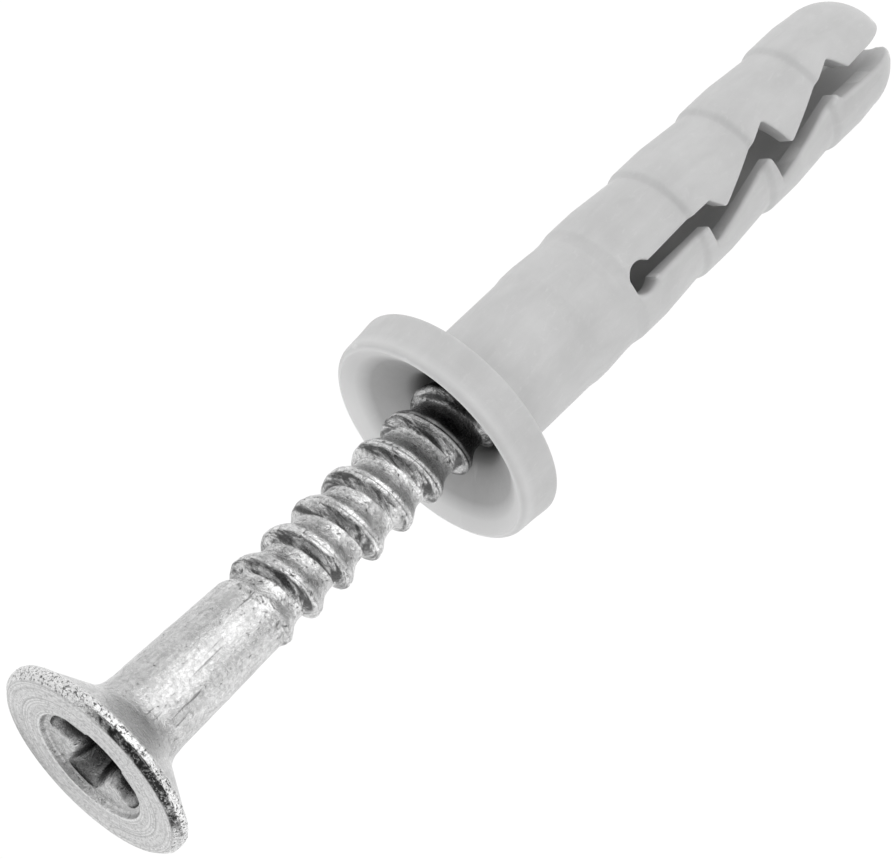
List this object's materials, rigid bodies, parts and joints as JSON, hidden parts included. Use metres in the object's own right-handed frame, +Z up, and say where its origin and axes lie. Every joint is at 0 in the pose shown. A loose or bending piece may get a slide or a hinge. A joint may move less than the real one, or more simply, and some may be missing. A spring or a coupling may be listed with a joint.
{
  "type": "wall anchor",
  "caption": "Hammer-in nail plug: collared plastic plug with interlocking expansion legs and a countersunk nail screw that drives them apart.",
  "frame": {"origin": "centre of the collar's back face, where it meets the wall, on the axis of the plug and its hole", "axes": "+Y along the plug's axis into the wall, +Z up and square to the slot, +X towards the right expansion leg"},
  "size_m": [0.0146, 0.067, 0.0146],
  "materials": {
    "nylon": "satin moulded",
    "zinc_plate": "bright zinc plated, slightly rough"
  },
  "bodies": {
    "plug": {"plug_sleeve": "nylon"},
    "left_leg": {"expansion_leg_left": "nylon"},
    "right_leg": {"expansion_leg_right": "nylon"},
    "nail": {"nail_screw": "zinc_plate"}
  },
  "joints": [
    {"name": "nail_drive", "type": "slide", "parent": "plug", "child": "nail", "axis": [0, 1, 0], "range_m": [0, 0.0267]},
    {"name": "left_leg_spread", "type": "hinge", "parent": "plug", "child": "left_leg", "pos_m": [-0.00403, 0.0126, 0], "axis": [0, 0, 1], "range_deg": [0, 4]},
    {"name": "right_leg_spread", "type": "hinge", "parent": "plug", "child": "right_leg", "pos_m": [0.00403, 0.0126, 0], "axis": [0, 0, -1], "range_deg": [0, 4]}
  ],
  "couplings": [
    {"joint": "left_leg_spread", "follows": "nail_drive", "rad_per_m": 2.6147},
    {"joint": "right_leg_spread", "follows": "nail_drive", "rad_per_m": 2.6147}
  ]
}
